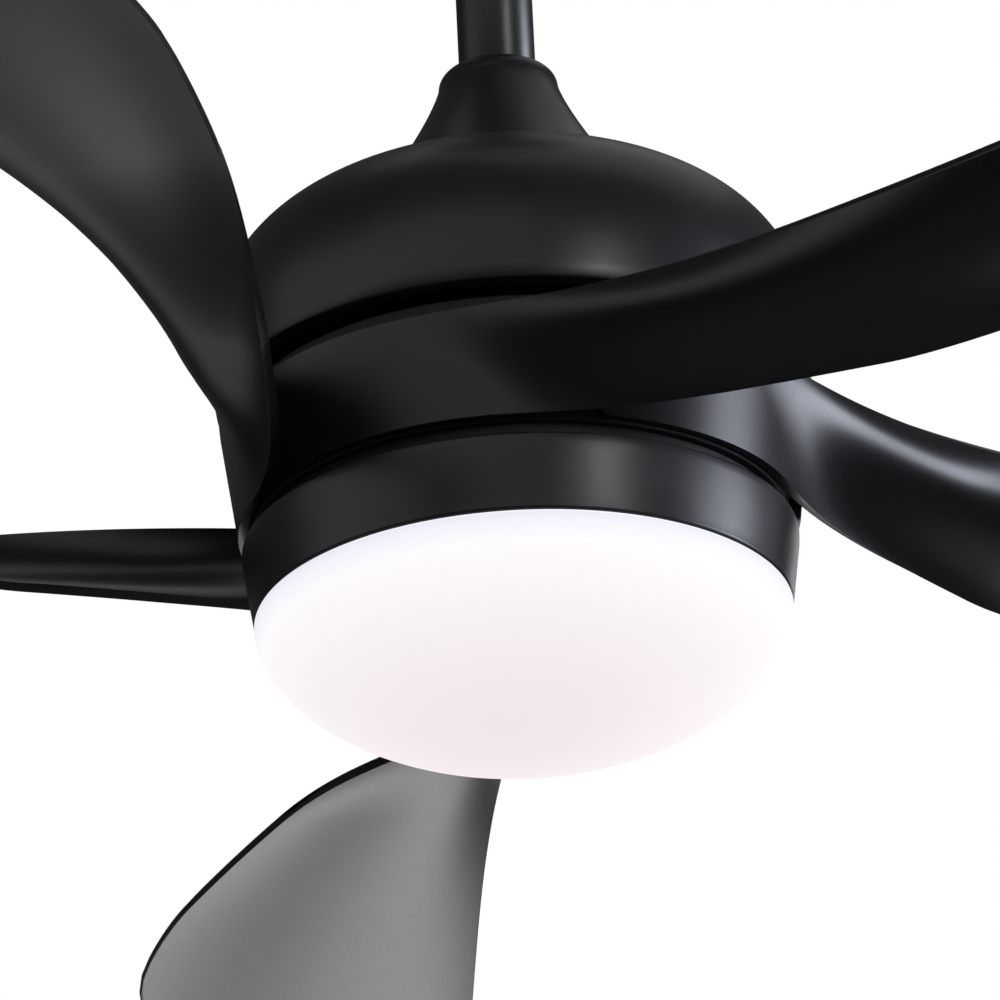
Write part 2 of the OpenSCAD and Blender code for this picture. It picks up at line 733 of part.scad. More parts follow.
module lens() {
    steps = 22;
    outer = lens_curve(bowl_r, lens_depth, steps);
    inner = lens_curve(lens_r - lens_t, lens_depth - lens_t, steps);
    profile = concat(
        [[lens_r, z_lip + lens_rim_h], [lens_r, z_bowl], [bowl_r - 0.4, z_bowl], [bowl_r, z_bowl - 0.4]],
        [for (i = [1 : steps]) outer[i]], [for (i = [steps : -1 : 0]) inner[i]],
        [[lens_r - lens_t, z_lip + lens_rim_h]]);
    color("#f7f3f6") {
        rotate_extrude() polygon(profile);
        around(catch_count, 90) intersection() {
            translate([0, 0, z_lip + 4.5]) ring(lens_r - 1, 83.8, 3);
            translate([60, -8, z_lip]) cube([40, 16, 30]);
        }
    }
}

ceiling_plate();
hanger_bracket();
canopy_screws();
receiver();
canopy();
hanger_ball();
ball_pin();
ball_set_screw();
downrod();
motor_leads();
lead_connector();
coupling();
coupling_pin();
pin_clip();
coupling_set_screws();
coupling_cover();
mounting_collar();
dome_housing();
dome_screws();
motor_shaft();
stator_core();
stator_windings();
upper_bearing();
lower_bearing();
magnet_ring();
rotor_top();
rotor_bottom();
bell_screws();
blade_hub();
hub_screws();
blade_1();
blade_2();
blade_3();
blade_4();
blade_5();
blade_screws();
shaft_collar();
light_pan();
shaft_washer();
shaft_nut();
light_ring();
ring_screws();
led_board();
led_chips();
led_driver();
driver_screws();
lens_catches();
lens();
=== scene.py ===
# Five-blade ceiling fan with a light: the finished pieces, their materials, and a plain studio.
# Lengths are metres. z = 0 is the ceiling and the fan hangs below it, as in the frame.
import json
import math

import bmesh
import bpy
from mathutils import Matrix, Vector


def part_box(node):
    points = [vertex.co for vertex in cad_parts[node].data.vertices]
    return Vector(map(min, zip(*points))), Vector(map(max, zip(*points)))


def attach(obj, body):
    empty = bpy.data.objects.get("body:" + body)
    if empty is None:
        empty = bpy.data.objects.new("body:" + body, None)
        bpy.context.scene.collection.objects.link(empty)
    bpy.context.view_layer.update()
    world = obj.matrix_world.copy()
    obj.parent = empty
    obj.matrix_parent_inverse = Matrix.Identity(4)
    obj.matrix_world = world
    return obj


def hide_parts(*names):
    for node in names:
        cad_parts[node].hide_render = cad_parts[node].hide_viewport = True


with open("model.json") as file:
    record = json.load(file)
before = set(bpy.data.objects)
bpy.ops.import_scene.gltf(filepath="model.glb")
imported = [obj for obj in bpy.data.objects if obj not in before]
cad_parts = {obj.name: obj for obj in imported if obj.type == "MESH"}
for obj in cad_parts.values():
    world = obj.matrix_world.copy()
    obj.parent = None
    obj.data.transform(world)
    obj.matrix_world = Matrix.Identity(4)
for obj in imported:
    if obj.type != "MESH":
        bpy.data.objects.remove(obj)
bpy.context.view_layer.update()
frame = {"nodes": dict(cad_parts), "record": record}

MM = 0.001


# ---------- sizes, read from the frame ----------
def low(node):
    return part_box(node)[0]


def high(node):
    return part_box(node)[1]


z_lip = low("light_ring").z
z_bowl = z_lip - 0.3 * MM
z_ring_top = high("light_ring").z
z_dome_rim = low("dome_housing").z
z_dome_top = high("dome_housing").z
lower_gap, upper_gap = 6 * MM, 10 * MM   # open gaps below and above the band of blade roots
z_band_low = z_ring_top + lower_gap
z_band_top = z_dome_rim - upper_gap
z_pan = z_lip + 21.8 * MM                # underside of the pan that carries the light
z_motor = z_lip + 75 * MM                # joint face between the blade hub and the motor
z_web = z_motor - 4 * MM                 # underside of the blade hub's web
lip_r = 91.4 * MM
skin_slope = 0.128
rod_r = high("downrod").x
rod_wall = 2.9 * MM
dome_wall, dome_hole_r = 1.6 * MM, 28 * MM
blade_t = 4 * MM


def skin_r(z):
    """Outer radius of the tapered body at height z."""
    return lip_r + skin_slope * (z - z_lip)


def smooth(x):
    t = min(1.0, max(0.0, x))
    return t * t * (3 - 2 * t)


def mix(a, b, t):
    return a + (b - a) * t


# ---------- material building blocks ----------
class Recipe:
    """A material's node tree, with short ways to add what most finishes here need."""

    def __init__(self, name, colour, roughness, metallic=0.0):
        self.material = bpy.data.materials.new(name)
        self.material.use_nodes = True
        self.nodes = self.material.node_tree.nodes
        self.links = self.material.node_tree.links
        self.shader = self.nodes["Principled BSDF"]
        self.shader.inputs["Base Color"].default_value = (*colour, 1)
        self.shader.inputs["Roughness"].default_value = roughness
        self.shader.inputs["Metallic"].default_value = metallic
        self.place = self.nodes.new("ShaderNodeTexCoord").outputs["Object"]

    def noise(self, per_metre, detail=2.0, stretch=(1, 1, 1)):
        """Noise over the object's own space, with so many waves to the metre."""
        mapping = self.nodes.new("ShaderNodeMapping")
        mapping.inputs["Scale"].default_value = stretch
        self.links.new(self.place, mapping.inputs["Vector"])
        noise = self.nodes.new("ShaderNodeTexNoise")
        noise.inputs["Scale"].default_value = per_metre
        noise.inputs["Detail"].default_value = detail
        self.links.new(mapping.outputs["Vector"], noise.inputs["Vector"])
        return noise.outputs["Fac"]

    def ramp(self, value, *stops):
        """Colours or greys laid over a value from 0 to 1: stops are (position, colour)."""
        ramp = self.nodes.new("ShaderNodeValToRGB")
        band = ramp.color_ramp
        while len(band.elements) < len(stops):
            band.elements.new(0.5)
        for element, (position, colour) in zip(band.elements, stops):
            element.position = position
            element.color = (colour, colour, colour, 1) if isinstance(colour, float) else (*colour, 1)
        self.links.new(value, ramp.inputs["Fac"])
        return ramp.outputs["Color"]

    def vary_roughness(self, value, smallest, largest):
        self.links.new(self.ramp(value, (0.3, smallest), (0.7, largest)), self.shader.inputs["Roughness"])

    def vary_colour(self, value, first, second):
        self.links.new(self.ramp(value, (0.3, first), (0.7, second)), self.shader.inputs["Base Color"])

    def bump(self, value, depth, strength=1.0):
        """Raises the surface by up to depth metres; call it again for a second layer."""
        bump = self.nodes.new("ShaderNodeBump")
        bump.inputs["Distance"].default_value = depth
        bump.inputs["Strength"].default_value = strength
        self.links.new(value, bump.inputs["Height"])
        last = self.shader.inputs["Normal"].links
        if last:
            self.links.new(last[0].from_socket, bump.inputs["Normal"])
        self.links.new(bump.outputs["Normal"], self.shader.inputs["Normal"])


def satin_black_paint():
    """Sprayed satin black on pressed steel: a faint orange peel and slow changes of gloss."""
    r = Recipe("satin_black_paint", (0.011, 0.011, 0.0115), 0.36)
    r.vary_roughness(r.noise(40, 3), 0.33, 0.4)
    r.bump(r.noise(700, 2), 0.00002, 0.35)
    r.bump(r.noise(60, 2), 0.0002, 0.08)
    return r.material


def grained_blade_plastic():
    """Moulded black plastic with a fine stipple."""
    r = Recipe("grained_blade_plastic", (0.006, 0.006, 0.006), 0.4)
    r.vary_colour(r.noise(12, 3), (0.0045, 0.0045, 0.0045), (0.0065, 0.0065, 0.0065))
    r.vary_roughness(r.noise(1300, 2), 0.3, 0.37)
    r.bump(r.noise(1100, 2), 0.00003, 0.3)
    return r.material


def matt_black_plastic():
    r = Recipe("matt_black_plastic", (0.006, 0.006, 0.006), 0.65)
    r.vary_roughness(r.noise(300, 3), 0.6, 0.72)
    r.bump(r.noise(1600, 2), 0.00005, 0.4)
    return r.material


def opal_acrylic():
    """Opal bowl lit from behind. Its glow is the lamp's light, with its fall-off painted in by height:
    pinkish and dimmer low down, whitest a little below the rim, a darker lavender band just under the rim,
    and white at the rim itself.
    """
    r = Recipe("opal_acrylic", (0.1, 0.098, 0.1), 0.6)
    r.shader.inputs["Specular IOR Level"].default_value = 0.15
    separate = r.nodes.new("ShaderNodeSeparateXYZ")
    r.links.new(r.place, separate.inputs["Vector"])
    height = r.nodes.new("ShaderNodeMapRange")
    height.inputs["From Min"].default_value = low("lens").z
    height.inputs["From Max"].default_value = z_bowl
    r.links.new(separate.outputs["Z"], height.inputs["Value"])
    # Painted light: this emission colour by height paints the lamp's fall-off, a darker lavender band just
    # under the rim and a white line at the rim
    glow = r.ramp(height.outputs["Result"], (0.0, (0.85, 0.785, 0.81)), (0.2, (0.9, 0.83, 0.84)),
                  (0.5, (0.955, 0.90, 0.91)), (0.8, (0.985, 0.965, 0.975)), (0.93, (0.9, 0.885, 0.95)),
                  (0.985, (0.82, 0.81, 0.92)), (1.0, (1.0, 1.0, 1.0)))
    r.links.new(glow, r.shader.inputs["Emission Color"])
    r.shader.inputs["Emission Strength"].default_value = 0.98
    return r.material


def plated_steel():
    r = Recipe("plated_steel", (0.5, 0.51, 0.53), 0.32, 1.0)
    r.vary_colour(r.noise(90, 3), (0.45, 0.46, 0.49), (0.56, 0.56, 0.55))
    r.vary_roughness(r.noise(400, 3), 0.26, 0.42)
    r.bump(r.noise(900, 3), 0.00003, 0.3)
    return r.material


def plain_steel():
    r = Recipe("plain_steel", (0.33, 0.33, 0.34), 0.38, 1.0)
    r.vary_roughness(r.noise(500, 3, (1, 1, 12)), 0.3, 0.5)
    r.bump(r.noise(1200, 2, (1, 1, 10)), 0.00003, 0.3)
    return r.material


def cast_aluminium():
    r = Recipe("cast_aluminium", (0.52, 0.52, 0.53), 0.5, 1.0)
    r.vary_roughness(r.noise(250, 4), 0.42, 0.6)
    r.bump(r.noise(700, 4), 0.0001, 0.5)
    return r.material


def magnet_steel():
    r = Recipe("magnet_steel", (0.05, 0.05, 0.055), 0.45, 0.8)
    r.bump(r.noise(600, 4), 0.00008, 0.4)
    return r.material


def enamelled_copper():
    r = Recipe("enamelled_copper", (0.5, 0.17, 0.06), 0.3, 0.9)
    r.vary_colour(r.noise(300, 2), (0.42, 0.13, 0.045), (0.58, 0.22, 0.08))
    r.bump(r.noise(1400, 1, (1, 1, 0.2)), 0.0002, 0.8)
    return r.material


def white_board():
    r = Recipe("white_board", (0.82, 0.82, 0.82), 0.45)
    r.vary_roughness(r.noise(200, 3), 0.38, 0.5)
    r.bump(r.noise(900, 2), 0.00003, 0.3)
    return r.material


def white_plastic():
    r = Recipe("white_plastic", (0.72, 0.72, 0.7), 0.5)
    r.bump(r.noise(1300, 3), 0.00004, 0.4)
    return r.material


def chip_gel():
    r = Recipe("chip_gel", (0.85, 0.7, 0.2), 0.2)
    r.vary_colour(r.noise(700, 2), (0.8, 0.62, 0.15), (0.9, 0.78, 0.28))
    r.shader.inputs["Emission Color"].default_value = (1, 0.95, 0.85, 1)
    r.shader.inputs["Emission Strength"].default_value = 1.0
    return r.material


def wire_sleeve():
    r = Recipe("wire_sleeve", (0.5, 0.5, 0.5), 0.42)
    r.vary_roughness(r.noise(900, 2), 0.36, 0.5)
    return r.material


FINISHES = {
    "black_paint": satin_black_paint(),
    "blade_plastic": grained_blade_plastic(),
    "dark_plastic": matt_black_plastic(),
    "zinc_steel": plated_steel(),
    "steel": plain_steel(),
    "cast_aluminium": cast_aluminium(),
    "copper_wire": enamelled_copper(),
    "magnet": magnet_steel(),
    "wire_sleeve": wire_sleeve(),
    "white_plastic": white_plastic(),
    "white_plate": white_board(),
    "led_phosphor": chip_gel(),
    "opal_acrylic": opal_acrylic(),
}


# ---------- mesh building blocks ----------
def make_object(name, mesh):
    obj = bpy.data.objects.new(name, mesh)
    bpy.context.scene.collection.objects.link(obj)
    return obj


def mesh_of(name, verts, faces):
    mesh = bpy.data.meshes.new(name)
    mesh.from_pydata(verts, [], faces)
    mesh.update()
    return make_object(name, mesh)


def fillet(points, radii, steps=5):
    """A line through points, in two dimensions, with its inner corners rounded."""
    line = [points[0]]
    for i in range(1, len(points) - 1):
        radius = radii[i] if i < len(radii) else 0
        p, q, n = (Vector(points[k]) for k in (i - 1, i, i + 1))
        if radius <= 0:
            line.append(tuple(q))
            continue
        into, out = (p - q).normalized(), (n - q).normalized()
        half = into.angle(out) / 2
        reach = min(radius / math.tan(half), 0.49 * (p - q).length, 0.49 * (n - q).length)
        start, end = q + into * reach, q + out * reach
        for k in range(steps + 1):
            t = k / steps
            line.append(tuple(start * (1 - t) ** 2 + q * 2 * t * (1 - t) + end * t * t))
    line.append(points[-1])
    return line


def revolve(name, profile, segments=192):
    """A closed profile of (radius, height) points, counter-clockwise, turned about the Z axis."""
    verts, faces, count = [], [], len(profile)
    for s in range(segments):
        angle = 2 * math.pi * s / segments
        c, k = math.cos(angle), math.sin(angle)
        verts += [(r * c, r * k, z) for r, z in profile]
    for s in range(segments):
        here, there = s * count, ((s + 1) % segments) * count
        for i in range(count):
            j = (i + 1) % count
            faces.append((here + i, there + i, there + j, here + j))
    return mesh_of(name, verts, faces)


def solidify_normals(obj):
    """Welds, then points every face outwards."""
    mesh = bmesh.new()
    mesh.from_mesh(obj.data)
    bmesh.ops.remove_doubles(mesh, verts=mesh.verts, dist=1e-7)
    bmesh.ops.recalc_face_normals(mesh, faces=mesh.faces)
    mesh.to_mesh(obj.data)
    mesh.free()
    return obj


def shade(obj, angle=35):
    """Smooth shading, broken at edges sharper than the angle."""
    mesh = obj.data
    mesh.shade_smooth()
    mesh.set_sharp_from_angle(angle=math.radians(angle))
    return obj


def bevelled(obj, width, segments=2, angle=40):
    """Rounds the sharp edges, for good."""
    modifier = obj.modifiers.new("round", "BEVEL")
    modifier.width = width
    modifier.segments = segments
    modifier.limit_method = "ANGLE"
    modifier.angle_limit = math.radians(angle)
    modifier.use_clamp_overlap = True
    modifier.miter_outer = "MITER_ARC"
    return settle(obj)


def settle(obj):
    """Turns what the modifiers make into the object's plain mesh."""
    bpy.context.view_layer.update()
    graph = bpy.context.evaluated_depsgraph_get()
    mesh = bpy.data.meshes.new_from_object(obj.evaluated_get(graph))
    obj.modifiers.clear()
    obj.data = mesh
    return obj


def finish_piece(obj, body, slot, *nodes):
    obj.data.materials.clear()
    obj.data.materials.append(FINISHES[slot])
    if nodes:
        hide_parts(*nodes)
    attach(obj, body)
    return obj


# ---------- turned and pressed shells ----------
def dome_line(inset, count):
    """The dome from its rim to its flat top."""
    crown, rounding, power = 78.9 * MM, 2.7, 0.375
    t_top = (z_dome_top - z_dome_rim) / crown
    line = []
    for i in range(count + 1):
        t = t_top * (1 - (1 - i / count) ** 1.7)
        z = z_dome_rim + crown * t
        r = skin_r(z) * (1 - t ** rounding) ** power
        line.append((r - inset * (1 - 0.75 * (t / t_top) ** 4), z - inset * (t / t_top) ** 2))
    return line


def make_dome():
    """The motor's dome, with a narrow flange turned in at its rim."""
    rim_r = skin_r(z_dome_rim)
    flange_r, flange_t = rim_r - 6 * MM, 2 * MM
    outer = dome_line(0, 72)
    inner = dome_line(dome_wall, 48)
    lip = [(flange_r, z_dome_rim + flange_t), (flange_r, z_dome_rim),
           (rim_r - 1.4 * MM, z_dome_rim), (rim_r - 0.4 * MM, z_dome_rim + 0.45 * MM),
           (rim_r + 0.06 * MM, z_dome_rim + 1.3 * MM)]
    top = [(dome_hole_r, z_dome_top), (dome_hole_r, z_dome_top - dome_wall)]
    profile = lip + outer[3:] + top + inner[:1:-1] + [(inner[2][0], z_dome_rim + flange_t)]
    dome = revolve("dome_shell", profile, 256)
    shade(solidify_normals(dome), 30)
    return finish_piece(dome, "hanger", "black_paint", "dome_housing")


def cover_line(inset):
    """The bell-shaped cover, foot to neck."""
    foot_r, neck_r, shoulder, bore = 45 * MM, 20.8 * MM, 6.4 * MM, rod_r + 0.3 * MM
    height = high("coupling_cover").z - low("coupling_cover").z
    skirt = height - shoulder
    foot_z = low("coupling_cover").z
    line = [(neck_r + (foot_r - neck_r) * (1 - i / 40) ** 1.26 - inset, foot_z + skirt * i / 40)
            for i in range(41)]
    for a in range(6, 88, 6):
        angle = math.radians(a)
        line.append((bore + (neck_r - bore - inset) * math.cos(angle),
                     foot_z + skirt + (shoulder - inset) * math.sin(angle)))
    line.append((bore, foot_z + height - inset))
    return line


def make_coupling_cover():
    profile = cover_line(0) + cover_line(1.5 * MM)[::-1]
    cover = revolve("coupling_bell", profile, 160)
    shade(solidify_normals(cover), 40)
    return finish_piece(cover, "cover", "black_paint", "coupling_cover")


def make_light_ring():
    """The tapered ring, with a rolled lower lip and a softened top edge."""
    inner_r, top_r = lip_r - 0.9 * MM, skin_r(z_ring_top)
    roll = 1.8 * MM
    roll_z = z_lip + roll * math.sin(math.radians(60))
    profile = [(inner_r, z_lip + 0.3 * MM)]
    for a in range(-60, 1, 6):
        angle = math.radians(a)
        profile.append((lip_r - roll + roll * math.cos(angle), roll_z + roll * math.sin(angle)))
    profile += [(mix(lip_r, top_r, t), mix(roll_z, z_ring_top - 1.6 * MM, t)) for t in (0.1, 0.5, 0.9)]
    for a in range(0, 91, 15):
        angle = math.radians(a)
        profile.append((top_r - 1.3 * MM + 1.1 * MM * math.cos(angle),
                        z_ring_top - 1.1 * MM + 1.1 * MM * math.sin(angle)))
    profile += [(77 * MM, z_ring_top), (77 * MM, z_ring_top - 2.5 * MM),
                (top_r - 2.6 * MM, z_ring_top - 2.5 * MM), (inner_r, z_lip + 9 * MM)]
    ring = revolve("light_ring_shell", profile, 256)
    shade(solidify_normals(ring), 40)
    return finish_piece(ring, "hanger", "black_paint", "light_ring")


def lens_line(radius, depth, count):
    """The bowl from its shoulder to its lowest point."""
    power = 2 / 1.84
    line = []
    for i in range(count):
        a = math.pi / 2 * i / count
        line.append((radius * math.cos(a) ** power, z_bowl - depth * math.sin(a) ** power))
    return line + [(0.0, z_bowl - depth)]


def make_lens():
    """A rim inside the ring, a softened step out just under it, then the bowl."""
    radius, rim_r, wall = high("lens").x, 90.2 * MM, 2.2 * MM
    depth, rim, edge = z_bowl - low("lens").z, high("lens").z, 0.4 * MM
    outer = lens_line(radius, depth, 72)
    inner = lens_line(rim_r - wall, depth - wall, 44)
    profile = [(rim_r - 0.3 * MM, rim), (rim_r, rim - 0.3 * MM), (rim_r, z_bowl), (radius - edge, z_bowl)]
    profile += [(radius - edge * (1 - math.sin(a)), z_bowl - edge * (1 - math.cos(a)))
                for a in (math.radians(30), math.radians(60), math.radians(88))]
    profile += outer[1:] + inner[::-1] + [(rim_r - wall, rim)]
    lens = revolve("lens_bowl", profile, 256)
    solidify_normals(lens)
    shade(lens, 40)
    return finish_piece(lens, "lens", "opal_acrylic", "lens")


def make_downrod():
    bore, top, end = rod_r - rod_wall, high("downrod").z, low("downrod").z
    edge = 0.5 * MM
    profile = [(bore, end), (rod_r - edge, end), (rod_r, end + edge),
               (rod_r, top - edge), (rod_r - edge, top), (bore, top)]
    rod = revolve("downrod_pipe", profile, 96)
    shade(solidify_normals(rod), 50)
    return finish_piece(rod, "hanger", "black_paint", "downrod")


def make_canopy():
    """Pressed bell at the ceiling, cut by two open slots for its screws."""
    radius, top, end, wall = high("canopy").y, high("canopy").z, low("canopy").z, 1.2 * MM
    slot_w, slot_foot_z = 4.8 * MM, -9 * MM
    hole_r, foot_r, rise = 27 * MM, 32 * MM, 39 * MM

    def curve(inset, count):
        out = radius - foot_r - inset
        return [(foot_r + out * math.cos(math.pi / 2 * i / count),
                 end + rise - (rise - inset) * math.sin(math.pi / 2 * i / count)) for i in range(count + 1)]

    profile = [(radius - 0.4 * MM, top), (radius, top - 0.4 * MM)] + curve(0, 40)
    profile += [(hole_r, end), (hole_r, end + wall)] + curve(wall, 40)[::-1] + [(radius - wall, top)]
    canopy = revolve("canopy_bell", profile, 192)
    solidify_normals(canopy)
    for side in (-1, 1):
        cut_slot(canopy, side * radius, slot_w, slot_foot_z)
    shade(canopy, 35)
    return finish_piece(canopy, "canopy", "black_paint", "canopy")


def cut_slot(obj, x, width, floor_z):
    """Cuts a slot, open at the ceiling and round at its foot, through the wall at x."""
    half, deep = width / 2, 8 * MM
    outline = [(half, 5 * MM)] + [(half * math.cos(a), floor_z - half * math.sin(a))
                                  for a in [math.pi * i / 16 for i in range(17)]] + [(-half, 5 * MM)]
    count = len(outline)
    verts = [(x - deep, y, z) for y, z in outline] + [(x + deep, y, z) for y, z in outline]
    faces = [tuple(range(count)), tuple(range(2 * count - 1, count - 1, -1))]
    faces += [(i, i + count, (i + 1) % count + count, (i + 1) % count) for i in range(count)]
    cutter = solidify_normals(mesh_of("slot_cutter", verts, faces))
    modifier = obj.modifiers.new("slot", "BOOLEAN")
    modifier.operation = "DIFFERENCE"
    modifier.solver = "EXACT"
    modifier.object = cutter
    settle(obj)
    bpy.data.objects.remove(cutter)


def make_hub_drum():
    """The dark drum that carries the blades and shows in the gaps above and below them."""
    z_foot, z_head = z_band_low - 4.5 * MM, high("blade_hub").z
    seat, web_hole_r = blade_t + 0.35 * MM, 27 * MM
    r_low, r_top = skin_r(z_band_low) - seat, skin_r(z_band_top) - seat
    corners = [
        (r_low - 3 * MM, z_foot), (r_low - 3 * MM, z_band_low - 0.5 * MM), (r_low, z_band_low - 0.5 * MM),
        (r_top, z_band_top + 0.5 * MM), (r_top - 3 * MM, z_band_top + 0.5 * MM), (r_top - 3 * MM, z_head),
        (r_top - 6 * MM, z_head), (r_top - 6 * MM, z_motor), (web_hole_r, z_motor), (web_hole_r, z_web),
        (r_top - 9 * MM, z_web), (r_low - 5.5 * MM, z_band_low), (r_low - 5.5 * MM, z_foot)]
    profile = fillet(corners + corners[:1], [0] + [0.6 * MM] * (len(corners) - 1))[:-1]
    drum = revolve("hub_drum", profile, 192)
    shade(solidify_normals(drum), 40)
    return finish_piece(drum, "rotor", "dark_plastic", "blade_hub")


# ---------- blades ----------
# A blade's outer face lies between a leading edge and a trailing edge. Both wrap the drum from the
# heel, leave it in a spiral and straighten. Along the blade s is below 0 on the drum, 0 where the
# edges leave it and 1 at the reach, where the sweep has straightened out.
first_blade_angle = -51
blade_reach = 535 * MM
tip_r = 558.4 * MM
heel_angle = -94
heel_s = -0.31
lead_wrap, trail_wrap, trail_lag = 58.5, 57.6, 18.3
blade_tip_t = 2.5 * MM
belly_depth = 10.2 * MM


def lead_angle(s):
    return mix(-lead_wrap, heel_angle, s / heel_s) if s < 0 else -lead_wrap * max(0, 1 - s) ** 3.68


def trail_angle(s):
    if s < 0:
        return mix(trail_lag - trail_wrap, heel_angle, s / heel_s)
    return trail_lag - trail_wrap * max(0, 1 - s) ** 2.74 - 35 * max(0, s - 0.8) ** 1.5


def lead_z(s):
    return z_band_top - 0.4 * MM * smooth(s / 0.3) - 18 * MM * smooth((s - 0.44) / 0.8)


def edge_drop(s):
    band = z_band_top - z_band_low
    return mix(band + 0.9 * MM * smooth(s / 0.3), 24.8 * MM, smooth((s - 0.42) / 0.25))


def end_r(v):
    """Where each line along the blade ends: v = 0 at the leading edge, 1 at the trailing edge."""
    return tip_r - 41 * MM * max(0, 1 - v / 0.45) ** 4 - 132 * MM * (1 - math.sqrt(1 - min(v, 1) ** 4))


def line_point(place, v):
    """Radius and s of a point on the line v: place runs from -1 at the heel through 0 to 1 at the tip."""
    r0 = skin_r(mix(z_band_top, z_band_low, v))
    if place <= 0:
        return r0, -place * heel_s
    r = r0 + (end_r(v) - r0) * place ** 2
    return r, math.sqrt(max(0, r - r0) / (blade_reach - r0))


def face_point(place, v):
    """Point between the edges, before the belly."""
    r, s = line_point(place, v)
    z = lead_z(s) - edge_drop(s) * v
    if place <= 0:
        from_heel, rounding, pull = (place + 1) * 80 * MM, 4 * MM, 0
        if from_heel < rounding:
            pull = rounding - math.sqrt(rounding ** 2 - (rounding - from_heel) ** 2)
        z = mix(z_band_top - pull, z_band_low + pull, v)
        r = skin_r(z)
    angle = math.radians(first_blade_angle + mix(lead_angle(s), trail_angle(s), v))
    return Vector((r * math.cos(angle), r * math.sin(angle), z))


def face_normal(place, v):
    """Points into the blade: towards the axis at the root, upwards further out."""
    step = 0.004
    along = face_point(min(1, place + step), v) - face_point(max(-1, place - step), v)
    across = face_point(place, min(1, v + step)) - face_point(place, max(0, v - step))
    return along.cross(across).normalized()


def belly(s, v):
    """How far the face stands out from the straight lines between the edges."""
    if s <= 0:
        return 0
    return 6.75 * belly_depth * (v + 0.023) * (1 - v) ** 2 * smooth(s / 0.35) * (1 - 0.2 * s ** 4)


def blade_skins(place, v):
    s = line_point(place, v)[1]
    normal = face_normal(place, v)
    outer = face_point(place, v) - normal * belly(s, v)
    return outer, outer + normal * mix(blade_t, blade_tip_t, smooth(s))


def blade_mesh(name):
    """One blade at rest, as two skins joined round their rim."""
    heel_rows = [-1 + 0.05 * (i / 8) ** 1.5 for i in range(9)]
    places = heel_rows + [-0.95 + 0.95 * i / 24 for i in range(1, 25)] + [i / 96 for i in range(1, 97)]
    lines = [(1 - math.cos(math.pi * j / 24)) / 2 for j in range(25)]
    rows, cols = len(places), len(lines)
    skins = [blade_skins(p, v) for p in places for v in lines]
    total = rows * cols
    faces = []
    for i in range(rows - 1):
        for j in range(cols - 1):
            a, b, c, d = i * cols + j, i * cols + j + 1, (i + 1) * cols + j + 1, (i + 1) * cols + j
            faces += [(a, b, c, d), (total + d, total + c, total + b, total + a)]
    rim = [i * cols for i in range(rows)]
    rim += [(rows - 1) * cols + j for j in range(1, cols)]
    rim += [i * cols + cols - 1 for i in range(rows - 2, -1, -1)]
    rim += [j for j in range(cols - 2, 0, -1)]
    for k, a in enumerate(rim):
        b = rim[(k + 1) % len(rim)]
        faces.append((a, b, total + b, total + a))
    blade = mesh_of(name, [tuple(pair[side]) for side in (0, 1) for pair in skins], faces)
    return solidify_normals(blade)


def make_blades(count=5):
    pattern = blade_mesh("blade_pattern")
    bevelled(pattern, 0.9 * MM, 3, 50)
    for i in range(count):
        blade = make_object(f"fan_blade_{i + 1}", pattern.data.copy())
        blade.data.transform(Matrix.Rotation(2 * math.pi * i / count, 4, "Z"))
        shade(blade, 60)
        finish_piece(blade, "rotor", "blade_plastic", f"blade_{i + 1}")
    bpy.data.objects.remove(pattern)


# ---------- repeated small parts ----------
def ring_of_copies():
    """Geometry nodes that set copies of a part evenly round the Z axis, each turned to face outwards."""
    tree = bpy.data.node_groups.new("ring_of_copies", "GeometryNodeTree")
    sockets = {}
    for name, kind in (("Geometry", "Geometry"), ("Count", "Int"), ("Radius", "Float"), ("Start", "Float"),
                       ("Height", "Float"), ("Finish", "Material")):
        socket = tree.interface.new_socket(name, in_out="INPUT", socket_type="NodeSocket" + kind)
        sockets[name] = socket.identifier
    tree.interface.new_socket("Geometry", in_out="OUTPUT", socket_type="NodeSocketGeometry")
    new, link = tree.nodes.new, tree.links.new
    given, result = new("NodeGroupInput"), new("NodeGroupOutput")

    def sum_of(operation, first, second=None):
        node = new("ShaderNodeMath")
        node.operation = operation
        for k, value in enumerate((first, second)):
            if isinstance(value, (int, float)):
                node.inputs[k].default_value = value
            elif value is not None:
                link(value, node.inputs[k])
        return node.outputs[0]

    turn = sum_of("DIVIDE", 2 * math.pi, given.outputs["Count"])
    angle = sum_of("ADD", sum_of("MULTIPLY", new("GeometryNodeInputIndex").outputs[0], turn),
                   given.outputs["Start"])
    place, facing = new("ShaderNodeCombineXYZ"), new("ShaderNodeCombineXYZ")
    link(sum_of("MULTIPLY", sum_of("COSINE", angle), given.outputs["Radius"]), place.inputs["X"])
    link(sum_of("MULTIPLY", sum_of("SINE", angle), given.outputs["Radius"]), place.inputs["Y"])
    link(given.outputs["Height"], place.inputs["Z"])
    link(angle, facing.inputs["Z"])
    points, turned = new("GeometryNodePoints"), new("FunctionNodeEulerToRotation")
    link(given.outputs["Count"], points.inputs["Count"])
    link(place.outputs[0], points.inputs["Position"])
    link(facing.outputs[0], turned.inputs["Euler"])
    copies, real, coat = new("GeometryNodeInstanceOnPoints"), new("GeometryNodeRealizeInstances"), \
        new("GeometryNodeSetMaterial")
    link(points.outputs[0], copies.inputs["Points"])
    link(given.outputs["Geometry"], copies.inputs["Instance"])
    link(turned.outputs[0], copies.inputs["Rotation"])
    link(copies.outputs[0], real.inputs[0])
    link(real.outputs[0], coat.inputs["Geometry"])
    link(given.outputs["Finish"], coat.inputs["Material"])
    link(coat.outputs[0], result.inputs[0])
    return tree, sockets


RING_TREE, RING_SOCKETS = ring_of_copies()


